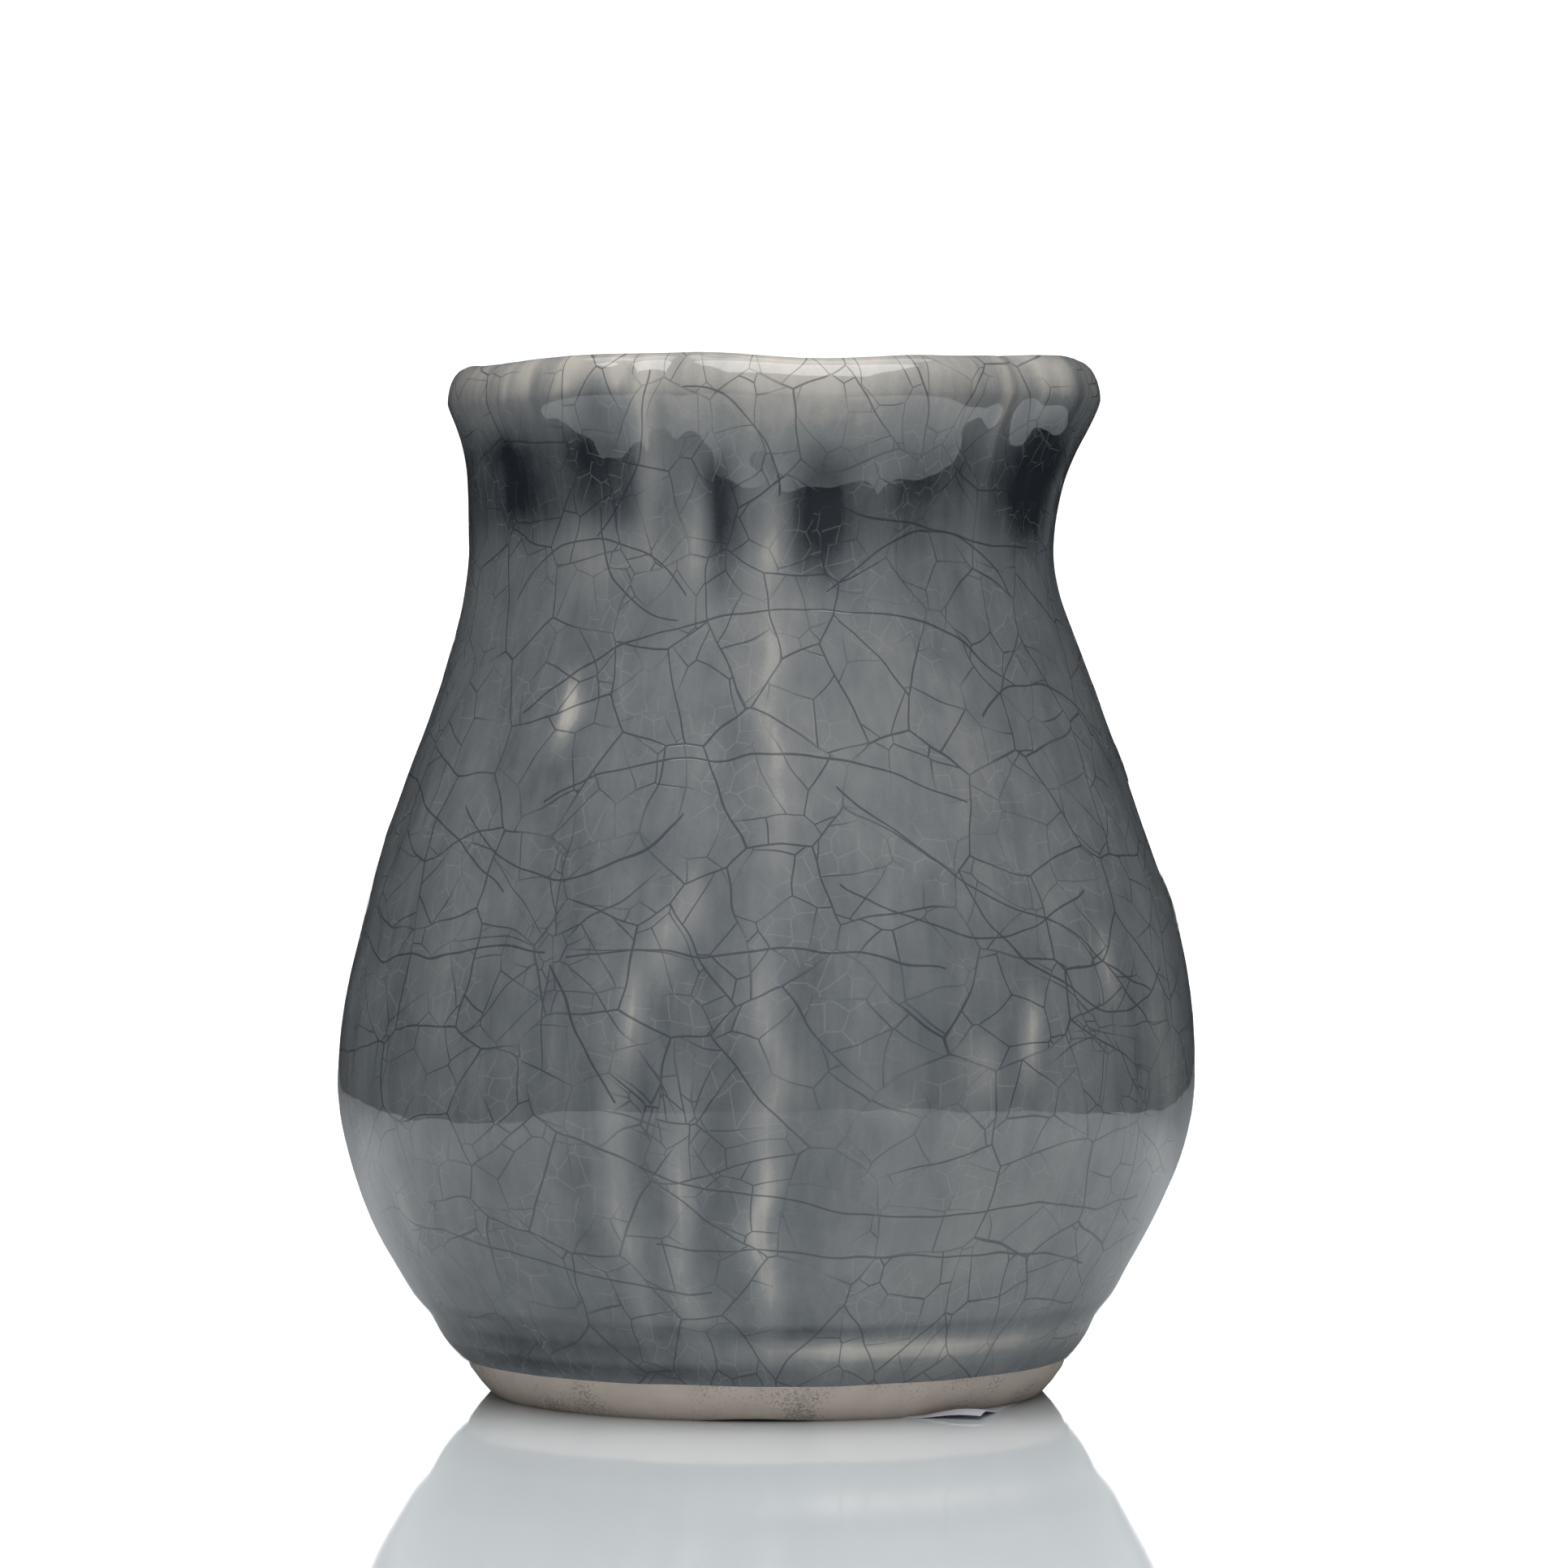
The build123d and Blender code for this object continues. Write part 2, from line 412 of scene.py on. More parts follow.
@dataclass(frozen=True)
class CrackleGlaze:
    """Stoneware crackle glaze: a glassy, milky blue-grey coat, crazed as it cooled.

    It gives the eye a hard glass over a pale body, dark where it pools in
    hollows and where shade under the rim is painted in, thin and warm over ridges,
    lighter where a highlight and a reflection are painted in, with stain in its fine cracks.
    """

    name: str = "crackle_glaze"
    deep: str = "#23282E"
    mid: str = "#65696C"
    thin: str = "#838483"
    bare: str = "#B5B0A8"
    stain: str = "#212A34"
    # How much of the bare colour and of the stain shows in the cracks
    raised_show: float = 0.13
    stain_show: float = 0.62
    roughness: float = 0.03
    ior: float = 1.5
    # Each waver of the cracks: its grain and its sway in mm
    wavers: tuple[Place, ...] = ((28.0, 6.0), (9.0, 2.6))
    # Each mottle: its squeeze along the height, its grain in mm and its weight
    mottles: tuple[tuple[float, float, float], ...] = (
        (0.16, 8.0, 0.17),
        (0.1, 1.5, 0.1),
        (1.0, 5.0, 0.1),
        (1.0, 0.35, 0.05),
    )
    ripple: float = 4.0
    sunk: float = -0.07
    raised: float = 0.03
    relief: float = 0.05

    def material(self) -> bpy.types.Material:
        """Builds the glaze's node material.

        Returns:
            The material.
        """
        material, tree = new_material(self.name)
        scaled = {0: add_node(tree, "TexCoord").outputs["Object"], "Scale": 1.0 / MM}
        place = add_node(tree, "VectorMath", scaled, operation="SCALE")
        lines, raised = Crazing(tree, self._unroll(tree, place)).draw()
        shown = times(tree, raised, self.raised_show)
        layers = {0: shown, 6: self._colour(tree, place), 7: linear(self.bare)}
        colour = add_node(tree, "Mix", layers, data_type="RGBA").outputs[2]
        shown = times(tree, lines, self.stain_show)
        layers = {0: shown, 6: colour, 7: linear(self.stain)}
        colour = add_node(tree, "Mix", layers, data_type="RGBA").outputs[2]
        close_material(
            tree,
            {
                "Base Color": colour,
                "Roughness": self.roughness,
                "IOR": self.ior,
                "Normal": self._relief(tree, place, lines, raised),
            },
        )
        return material

    def _unroll(self, tree: Tree, place: Signal) -> Signal:
        """Unrolls the wall, wavering a little, so that no crack runs true.

        Args:
            tree: The material's nodes.
            place: The place on the pot in mm.

        Returns:
            The distance round the pot and the height, in mm.
        """
        bent = place
        for grain, sway in self.wavers:
            noise = add_node(tree, "TexNoise", {"Vector": place, "Scale": 1.0 / grain, "Detail": 1.0})
            inputs = {0: noise.outputs["Color"], 1: (0.5, 0.5, 0.5)}
            centred = add_node(tree, "VectorMath", inputs, operation="SUBTRACT")
            inputs = {0: centred, 1: (sway, sway, sway), 2: bent}
            bent = add_node(tree, "VectorMath", inputs, operation="MULTIPLY_ADD")
        parts = add_node(tree, "SeparateXYZ", {0: bent})
        front = times(tree, parts.outputs[1], -1.0)
        angle = add_node(tree, "Math", {0: parts.outputs[0], 1: front}, operation="ARCTAN2")
        across = times(tree, angle, UNROLL_RADIUS)
        return add_node(tree, "CombineXYZ", {0: across, 1: parts.outputs[2]})

    def _colour(self, tree: Tree, place: Signal) -> Signal:
        """Colours the glaze by how thick it lies and by the painted shade, highlight and reflection laid with
        it, with fine runs down the wall.

        Args:
            tree: The material's nodes.
            place: The place on the pot in mm.

        Returns:
            The glaze's colour before its cracks are stained.
        """
        total = add_node(tree, "Attribute", attribute_name=FLOW).outputs["Fac"]
        for stretch, grain, weight in self.mottles:
            drawn = add_node(tree, "VectorMath", {0: place, 1: (1.0, 1.0, stretch)}, operation="MULTIPLY")
            noise = add_node(tree, "TexNoise", {"Vector": drawn, "Scale": 1.0 / grain, "Detail": 2.0})
            centred = add_node(tree, "Math", {0: noise, 1: 0.5}, operation="SUBTRACT")
            total = add_node(
                tree, "Math", {0: centred, 1: weight * 2.0, 2: total}, operation="MULTIPLY_ADD"
            )
        ramp = add_node(tree, "ValToRGB", {0: total})
        stops = ramp.color_ramp.elements
        stops[0].color = linear(self.deep)
        stops[1].color = linear(self.bare)
        for position, colour in ((0.4, self.mid), (0.7, self.thin)):
            stops.new(position).color = linear(colour)
        return ramp

    def _relief(self, tree: Tree, place: Signal, lines: Signal, raised: Signal) -> Signal:
        """Gives the glaze its slow ripple, sunk cracks and fine raised lines.

        Args:
            tree: The material's nodes.
            place: The place on the pot in mm.
            lines: The stained cracks.
            raised: The fine raised lines.

        Returns:
            The normal that the shader takes.
        """
        height = add_node(tree, "TexNoise", {"Vector": place, "Scale": 1.0 / self.ripple, "Detail": 1.0})
        for marks, depth in ((lines, self.sunk), (raised, self.raised)):
            inputs = {0: marks, 1: depth, 2: height}
            height = add_node(tree, "Math", inputs, operation="MULTIPLY_ADD")
        return add_node(tree, "Bump", {"Height": height, "Strength": 1.0, "Distance": self.relief * MM})


@dataclass(frozen=True)
class BareStoneware:
    """Fired buff stoneware, wiped clean of glaze: matt, fine-grained, with dark specks."""

    name: str = "bare_stoneware"
    clay: str = "#C4B5A8"
    pale: str = "#DACDC1"
    speck: str = "#4A4744"
    roughness: float = 0.75
    body_grain: float = 3.0
    grit_grain: float = 0.35
    cloud_grain: float = 9.0
    relief: float = 0.06

    def material(self) -> bpy.types.Material:
        """Builds the bare clay's node material.

        Returns:
            The material.
        """
        material, tree = new_material(self.name)
        place = add_node(tree, "TexCoord").outputs["Object"]
        body, grit, cloud = (
            add_node(tree, "TexNoise", {"Vector": place, "Scale": 1.0 / (grain * MM), "Detail": detail})
            for grain, detail in ((self.body_grain, 4.0), (self.grit_grain, 2.0), (self.cloud_grain, 1.0))
        )
        layers = {0: body, 6: linear(self.clay), 7: linear(self.pale)}
        mixed = add_node(tree, "Mix", layers, data_type="RGBA").outputs[2]
        together = add_node(tree, "Math", {0: grit, 1: cloud}, operation="ADD")
        specks = add_node(tree, "MapRange", {0: together, 1: 1.1, 2: 1.3, 3: 0.0, 4: 0.5})
        layers = {0: specks, 6: mixed, 7: linear(self.speck)}
        speckled = add_node(tree, "Mix", layers, data_type="RGBA").outputs[2]
        bump = add_node(tree, "Bump", {"Height": grit, "Strength": 0.6, "Distance": self.relief * MM})
        close_material(tree, {"Base Color": speckled, "Roughness": self.roughness, "Normal": bump})
        return material


@dataclass(frozen=True)
class LabelPaper:
    """Uncoated white label paper: matt, with a faint mottle of fibres."""

    name: str = "label_paper"
    white: str = "#E4E5EA"
    shade: str = "#D2D3DA"
    roughness: float = 0.85
    fibre_grain: float = 0.6
    relief: float = 0.03

    def material(self) -> bpy.types.Material:
        """Builds the paper's node material.

        Returns:
            The material.
        """
        material, tree = new_material(self.name)
        place = add_node(tree, "TexCoord").outputs["Object"]
        grain = {"Vector": place, "Scale": 1.0 / (self.fibre_grain * MM), "Detail": 5.0}
        fibres = add_node(tree, "TexNoise", grain)
        layers = {0: fibres, 6: linear(self.white), 7: linear(self.shade)}
        colour = add_node(tree, "Mix", layers, data_type="RGBA").outputs[2]
        bump = add_node(tree, "Bump", {"Height": fibres, "Strength": 0.4, "Distance": self.relief * MM})
        close_material(tree, {"Base Color": colour, "Roughness": self.roughness, "Normal": bump})
        return material


# ---------------------------------------------------------------- hand work on a mesh


def deselect_everything() -> None:
    """Clears the selection, so that an operator acts on one piece alone."""
    bpy.ops.object.select_all(action="DESELECT")


def work_on(piece: Piece) -> None:
    """Makes a piece the only one selected and active.

    Args:
        piece: The piece.
    """
    deselect_everything()
    piece.select_set(True)
    bpy.context.view_layer.objects.active = piece


def pick(piece: Piece, wanted: Callable[[Vector, Vector], bool]) -> bool:
    """Selects the vertices of a piece in edit mode by place and normal.

    Args:
        piece: The piece, in edit mode.
        wanted: Says whether a vertex at a place, with a normal, is selected.

    Returns:
        Whether any vertex was selected.
    """
    bpy.ops.mesh.select_mode(type="VERT")
    bpy.ops.mesh.select_all(action="DESELECT")
    mesh = bmesh.from_edit_mesh(piece.data)
    wanted_ones = [vertex for vertex in mesh.verts if wanted(vertex.co, vertex.normal)]
    for vertex in wanted_ones:
        vertex.select = True
    mesh.select_flush(True)
    bmesh.update_edit_mesh(piece.data)
    return bool(wanted_ones)


def drag(move: Sequence[float], reach: float) -> None:
    """Drags the selected vertices, and their neighbours with them, less with distance.

    Args:
        move: The move, in mm.
        reach: How far the neighbours follow, in mm.
    """
    bpy.ops.transform.translate(
        value=Vector(move) * MM,
        use_proportional_edit=True,
        proportional_edit_falloff="SMOOTH",
        proportional_size=reach * MM,
    )


def raise_rings(name: str, outline: Sequence[Place], segments: int, capped: bool) -> Piece:
    """Raises a round piece ring by ring, as clay is pulled up on the wheel.

    Args:
        name: The piece's name.
        outline: Radius and height of each ring, in mm.
        segments: How many vertices each ring has.
        capped: Whether the first ring is closed as the last one is.

    Returns:
        The new piece, at the origin, with its last ring closed in a point.
    """
    deselect_everything()
    rings = [(radius * MM, height * MM) for radius, height in outline]
    first_radius, first_height = rings[0]
    bpy.ops.mesh.primitive_circle_add(
        vertices=segments,
        radius=first_radius,
        fill_type="TRIFAN" if capped else "NOTHING",
        location=(0.0, 0.0, first_height),
    )
    piece = bpy.context.object
    piece.name = name
    piece.data.name = name
    bpy.ops.object.transform_apply(location=True)
    bpy.ops.object.mode_set(mode="EDIT")
    pick(piece, lambda place, normal: math.hypot(place.x, place.y) > first_radius * 0.5)
    for (last_radius, last_height), (radius, height) in pairwise(rings):
        bpy.ops.mesh.extrude_edges_move(TRANSFORM_OT_translate={"value": (0.0, 0.0, height - last_height)})
        share = radius / last_radius
        bpy.ops.transform.resize(value=(share, share, 1.0), center_override=(0.0, 0.0, 0.0))
    bpy.ops.mesh.merge(type="CENTER")
    bpy.ops.mesh.select_all(action="SELECT")
    bpy.ops.mesh.normals_make_consistent(inside=False)
    bpy.ops.object.mode_set(mode="OBJECT")
    return piece


def smooth(piece: Piece, shade: Shade) -> None:
    """Shades a piece smooth, all over or up to a crease angle.

    Args:
        piece: The piece.
        shade: How it is shaded.
    """
    work_on(piece)
    if shade is Shade.SMOOTH:
        bpy.ops.object.shade_smooth()
    else:
        bpy.ops.object.shade_smooth_by_angle(angle=math.radians(40.0))


def shape_with(piece: Piece, name: str, kind: str, **settings: Any) -> None:
    """Adds a modifier to a piece and applies it.

    Args:
        piece: The piece.
        name: The modifier's name.
        kind: Its type.
        **settings: Options set on it.
    """
    work_on(piece)
    modifier = piece.modifiers.new(name, kind)
    for option, value in settings.items():
        setattr(modifier, option, value)
    bpy.ops.object.modifier_apply(modifier=modifier.name)


def place_in_part(piece: Piece, finish: bpy.types.Material, node: str) -> None:
    """Gives a piece its finish and its place in the part.

    Args:
        piece: The piece.
        finish: Its material.
        node: The node that it stands for.
    """
    piece.data.materials.clear()
    piece.data.materials.append(finish)
    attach(piece, "root")
    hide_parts(node)


# ---------------------------------------------------------------- the pot's form


@dataclass(frozen=True)
class Push:
    """A push of the potter's fingers on the soft wall, fading smoothly with distance.

    The fingers lie along the wall from one height to another at an angle. A
    push of the outside alone leaves the inner wall as it was.
    """

    angle: float
    low: float
    high: float
    reach: float
    outward: float = 0.0
    upward: float = 0.0
    outside_only: bool = False


@dataclass(frozen=True)
class Run:
    """A run or pool of glaze, or a stroke of painted shade or painted reflection: a soft
    vertical stroke on the wall.

    Thin glaze and painted light are a positive strength, and pooled glaze and painted
    shade a negative one. A narrow run has crisper sides than a broad one.
    """

    angle: float
    low: float
    high: float
    width: float
    strength: float
    wander: float = 0.3
    narrow: float = 4.0
    crispness: float = 1.2

    def cover(self, angle: np.ndarray, radius: np.ndarray, height: np.ndarray) -> np.ndarray:
        """Works out what the run adds at each vertex.

        Args:
            angle: The vertices' angles in degrees.
            radius: Their distances from the axis in mm.
            height: Their heights in mm.

        Returns:
            How much thinner the glaze lies at each vertex; for strokes of painted shade and reflection, how
            much lighter or darker the glaze is painted.
        """
        waver = np.sin(height / 5.3 + self.angle) + 0.6 * np.sin(height / 2.1 + 2.0 * self.angle)
        middle = self.angle + np.degrees(self.wander / UNROLL_RADIUS) * waver
        turn = (angle - middle + 180.0) % 360.0 - 180.0
        width = self.width / self.crispness if self.width < self.narrow else self.width
        across = np.radians(turn) * radius / width
        along = np.abs(height - (self.low + self.high) / 2.0) / ((self.high - self.low) / 2.0)
        return self.strength * np.exp(-across * across) * np.exp(-1.4 * along**3)


@dataclass(frozen=True)
class Form:
    """The line that the clay and its glaze share, in mm."""

    foot_radius: float = 34.2
    belly_radius: float = 52.6
    neck_radius: float = 35.7
    rim_radius: float = 40.1
    belly_height: float = 39.0
    neck_height: float = 104.0
    rim_height: float = 121.8
    lip_rise: float = 4.2
    lip_width: float = 5.2
    wall: float = 4.6
    floor: float = 6.0
    glaze: float = 0.4
    bare_band: float = 3.4
    foot_bevel: float = 0.45
    recess_radius: float = 27.0
    recess_depth: float = 0.6
    # How far the clay is drawn in under the glaze, and the height over which it starts
    glaze_bed: float = 0.7
    bed_start: float = 4.0
    # How far the handles of each curve of the outline reach
    foot_hold: Place = (8.9, 12.0)
    belly_holds: Place = (13.0, 24.0)
    neck_holds: Place = (12.4, 10.5)
    rim_hold: float = 1.5
    # The round corner inside, between the wall and the floor
    corner_rise: float = 4.0
    corner_hold: Place = (4.5, 5.5)
    corner_radius: float = 27.0
    floor_radii: tuple[float, ...] = (20.0, 14.0, 8.0, 3.0, 0.8)
    # Each throwing ring: its height, depth and reach
    rings: tuple[tuple[float, float, float], ...] = (
        (5.2, 0.28, 1.7),
        (10.0, 0.62, 2.3),
        (12.6, -0.12, 1.5),
        (16.5, 0.1, 2.5),
    )
    # Each sideways sway of the wall: its height, reach and shift
    sways: tuple[tuple[float, float, float], ...] = (
        (17.0, 15.0, -0.55),
        (57.0, 14.0, 0.4),
        (104.0, 17.0, -0.75),
        (122.0, 12.0, 0.65),
    )
    sway_band: float = 1.6
    outer_steps: tuple[int, int, int] = (22, 24, 12)
    lip_steps: int = 8
    corner_steps: int = 6
    inner_stride: int = 2

    def outer_line(self) -> list[Place]:
        """Draws the clay's outer line from the foot to the widest part of the rim.

        Returns:
            Radius and height of each ring.
        """
        foot = (self.foot_radius, 0.0)
        belly = (self.belly_radius, self.belly_height)
        neck = (self.neck_radius, self.neck_height)
        rim = (self.rim_radius, self.rim_height)
        spans = (
            (foot, self.foot_hold, (0.0, -self.belly_holds[0]), belly),
            (belly, (0.0, self.belly_holds[1]), (0.0, -self.neck_holds[0]), neck),
            (neck, (0.0, self.neck_holds[1]), (0.0, -self.rim_hold), rim),
        )
        line = [foot]
        for (start, leave, arrive, end), steps in zip(spans, self.outer_steps):
            handles = (start, step_off(start, leave), step_off(end, arrive), end)
            line += [bezier(handles, i / steps) for i in range(1, steps + 1)]
        return [
            (radius - sum(depth * fade((height - z) / reach) for z, depth, reach in self.rings), height)
            for radius, height in line
        ]

    def clay_line(self) -> list[Place]:
        """Draws the clay's outer line, drawn in a little where glaze hides it.

        Returns:
            Radius and height of each ring.
        """
        outer = self.outer_line()
        line = []
        for place, bed in zip(outer, offset_line(outer, -self.glaze_bed)):
            covered = min(1.0, max(0.0, (place[1] - self.bare_band) / self.bed_start))
            line.append(mix_place(place, bed, fade(1.0 - covered)))
        return line

    def lip(self, coat: float) -> list[Place]:
        """Draws the half oval of the lip, from its outer to its inner side.

        Args:
            coat: The thickness of glaze on the clay.

        Returns:
            Radius and height of each ring.
        """
        middle = self.rim_radius - self.lip_width / 2.0
        half = self.lip_width / 2.0 + coat
        turns = [math.pi * i / self.lip_steps for i in range(1, self.lip_steps)]
        return [
            (middle + half * math.cos(turn), self.rim_height + (self.lip_rise + coat) * math.sin(turn))
            for turn in turns
        ]

    def inner_line(self, coat: float) -> list[Place]:
        """Draws the inner line from the rim down to the middle of the floor.

        Args:
            coat: The thickness of glaze on the clay.

        Returns:
            Radius and height of each ring.
        """
        swell = self.lip_width - self.wall
        swell_reach = self.rim_height - self.neck_height
        line = [
            (radius - swell * fade((self.rim_height - outer_height) / swell_reach), height)
            for (radius, height), (_, outer_height) in zip(
                offset_line(self.outer_line(), -(self.wall + coat)), self.outer_line()
            )
        ]
        lowest = self.floor + self.wall + self.corner_rise
        wall = [place for place in line[::-1][:: self.inner_stride] if place[1] > lowest]
        bottom = self.floor + coat
        hold = step_off(wall[-1], (-self.corner_hold[0], -self.corner_hold[1]))
        corner = (wall[-1], hold, (self.corner_radius, bottom), (self.floor_radii[0], bottom))
        steps = self.corner_steps
        round_off = [bezier(corner, i / steps) for i in range(1, steps + 1)]
        return wall + round_off + [(radius, bottom) for radius in self.floor_radii[1:]]


def fade(distance: float) -> float:
    """Falls smoothly from 1 at no distance to 0 at a distance of 1."""
    rest = max(0.0, 1.0 - abs(distance))
    return rest * rest * (3.0 - 2.0 * rest)


def facing(angle: float) -> Vector:
    """Gives the level direction out of the pot at an angle in degrees."""
    return Vector((math.sin(math.radians(angle)), -math.cos(math.radians(angle)), 0.0))


def step_off(place: Place, step: Place) -> Place:
    """Gives the place a step away from another."""
    return place[0] + step[0], place[1] + step[1]


def mix_place(start: Place, end: Place, share: float) -> Place:
    """Gives the place a share of the way from one place to another."""
    return start[0] + (end[0] - start[0]) * share, start[1] + (end[1] - start[1]) * share


def bezier(handles: Sequence[Place], share: float) -> Place:
    """Finds the point of a Bezier span at a share of its way.

    Args:
        handles: The span's start, its two handles and its end.
        share: The share, from 0 to 1.

    Returns:
        The point.
    """
    rest = 1.0 - share
    weights = (rest**3, 3.0 * rest * rest * share, 3.0 * rest * share * share, share**3)
    radius = sum(weight * handle[0] for weight, handle in zip(weights, handles))
    height = sum(weight * handle[1] for weight, handle in zip(weights, handles))
    return radius, height


def offset_line(line: Sequence[Place], distance: float) -> list[Place]:
    """Moves a line square to itself.

    Args:
        line: The line's places.
        distance: How far, outwards for a positive distance.

    Returns:
        The moved places.
    """
    moved = []
    for i, (radius, height) in enumerate(line):
        before = line[max(0, i - 1)]
        after = line[min(len(line) - 1, i + 1)]
        along = Vector((after[0] - before[0], after[1] - before[1])).normalized()
        moved.append((radius + along.y * distance, height - along.x * distance))
    return moved


def sway_wall(piece: Piece, form: Form) -> None:
    """Moves whole rings of the wall to the side, as an uneven pull leaves them.

    Args:
        piece: The piece to shape.
        form: The pot's form.
    """
    work_on(piece)
    bpy.ops.object.mode_set(mode="EDIT")
    for height, reach, shift in form.sways:
        if pick(piece, lambda place, normal: abs(place.z / MM - height) < form.sway_band):
            drag((shift, 0.0, 0.0), reach)
    bpy.ops.object.mode_set(mode="OBJECT")


def push_wall(piece: Piece, pushes: Sequence[Push], spacing: float) -> None:
    """Works the potter's pushes into a piece, one after another.

    Args:
        piece: The piece to shape.
        pushes: The pushes, in mm and degrees.
        spacing: The mesh's spacing round the pot, in degrees.
    """
    work_on(piece)
    bpy.ops.object.mode_set(mode="EDIT")
    for push in pushes:
        ahead = facing(push.angle)
        side = facing(push.angle + 90.0)

        def under_finger(place: Vector, normal: Vector) -> bool:
            """Says whether a vertex lies under the fingers.

            Args:
                place: The vertex's place.
                normal: Its normal.

            Returns:
                Whether it does.
            """
            outward = place.dot(ahead)
            if outward <= 0.0 or (push.outside_only and normal.dot(ahead) < 0.0):
                return False
            across = math.degrees(math.atan2(abs(place.dot(side)), outward))
            return across <= spacing * 0.51 and push.low * MM <= place.z <= push.high * MM

        if pick(piece, under_finger):
            drag(ahead * push.outward + Vector((0.0, 0.0, push.upward)), push.reach)
    bpy.ops.object.mode_set(mode="OBJECT")


# The mouth: creases between its five lobes, and the rise and fall of its lip
LOBE_PUSHES = [
    *(Push(angle, 118, 140, 13, outward=-1.5) for angle in (-20, 48, 120, 192, 264)),
    Push(72, 122, 140, 30, outward=0.3, upward=0.9),
    Push(9, 122, 140, 15, upward=-0.7),
    Push(-62, 122, 140, 16, upward=-0.4),
    Push(155, 122, 140, 26, upward=-0.5),
    Push(-150, 122, 140, 24, upward=0.4),
]

# Ridges and grooves that fingers left in the outside of the neck and rim
NECK_PUSHES = [
    Push(angle, low, high, reach, outward, outside_only=True)
    for angle, low, high, reach, outward in (
        (-22.5, 112, 125, 3.4, 0.45),
        (-17.5, 112, 126.5, 3.4, -0.6),
        (46.5, 113, 126, 3.2, 0.4),
        (51, 112, 127.5, 3.4, -0.55),
        (-27, 107, 113, 5, -0.4),
        (-12.8, 100, 112, 4, 0.4),
        (-8, 103, 111, 4.5, -0.5),
        (0, 99, 112, 4, 0.45),
        (10, 103, 111, 9, -0.5),
        (20, 99, 110, 5, 0.25),
        (33, 102, 112, 6, -0.3),
        (43, 98, 111, 4.5, 0.35),
        (63, 107, 117, 5.5, -0.5),
        (74, 104, 115, 4, 0.35),
        (-40, 103, 112, 5, 0.25),
        (-55, 104, 114, 6, -0.35),
        (-72, 100, 112, 5, 0.3),
        (96, 104, 114, 6, -0.45),
        (118, 112, 125, 3.4, 0.45),
        (123, 112, 126, 4.5, -0.3),
        (142, 103, 112, 5, -0.4),
        (160, 100, 112, 4.5, 0.35),
        (-168, 112, 125, 5, -0.3),
        (-150, 103, 112, 5, -0.4),
        (-128, 100, 112, 5, 0.35),
        (-96, 112, 125, 5, -0.3),
    )
]

# The wavering lower edge of the glaze, as (angle, rise). The wall leans out as it rises
EDGE_LEAN = 0.75
EDGE_PUSHES = [
    Push(angle, 2.0, 3.7, 4.5, outward=rise * EDGE_LEAN, upward=rise)
    for angle, rise in (
        *((-70, 0.3), (-52, -0.25), (-36, 0.2), (-24, -0.3), (-8, 0.35), (3, -0.2), (17, 0.25), (33, -0.3)),
        *((49, 0.3), (66, -0.25), (90, 0.3), (120, -0.3), (150, 0.3), (178, -0.3)),
        *((-150, 0.3), (-120, -0.3), (-95, 0.3)),
    )
]

# The worn places of the foot, lifted a little off the table
FOOT_WEAR = [Push(-2, -1, 0.3, 9, upward=0.3), Push(150, -1, 0.3, 9, upward=0.2)]

# Small bumps and dents of the wall
WALL_PUSHES = [
    Push(angle, low, high, reach, outward, outside_only=True)
    for angle, low, high, reach, outward in (
        (90, 60, 61, 7, 0.35),
        (90, 77, 78, 6, 0.3),
        (-90, 91, 92, 6, 0.25),
        (-90, 77, 78, 5, -0.25),
        (-88, 118, 119, 3, -0.35),
        (30, 60, 66, 14, 0.3),
        (-38, 44, 50, 15, -0.25),
        (-60, 64, 70, 12, 0.25),
        (140, 50, 58, 16, 0.35),
        (-140, 66, 74, 15, -0.3),
        (178, 80, 86, 12, 0.3),
    )
]

# Glaze pooled in the throwing rings over the foot, and thin between them, darker to the left;
# the light stripe at 8.9 mm on the right is a painted highlight:
# (height, reach, strength to the left, strength to the right)
RING_POOLS_AND_HIGHLIGHT = ((11.4, 0.7, -0.2, -0.16), (8.9, 1.3, -0.3, 0.34), (6.2, 1.0, -0.38, 0.04))

# The glaze's even thinness, and how much thinner it gets over the lip, from a height
EVEN_FLOW = 0.4
LIP_FLOW, LIP_START, LIP_REACH = 0.3, 115.0, 9.0
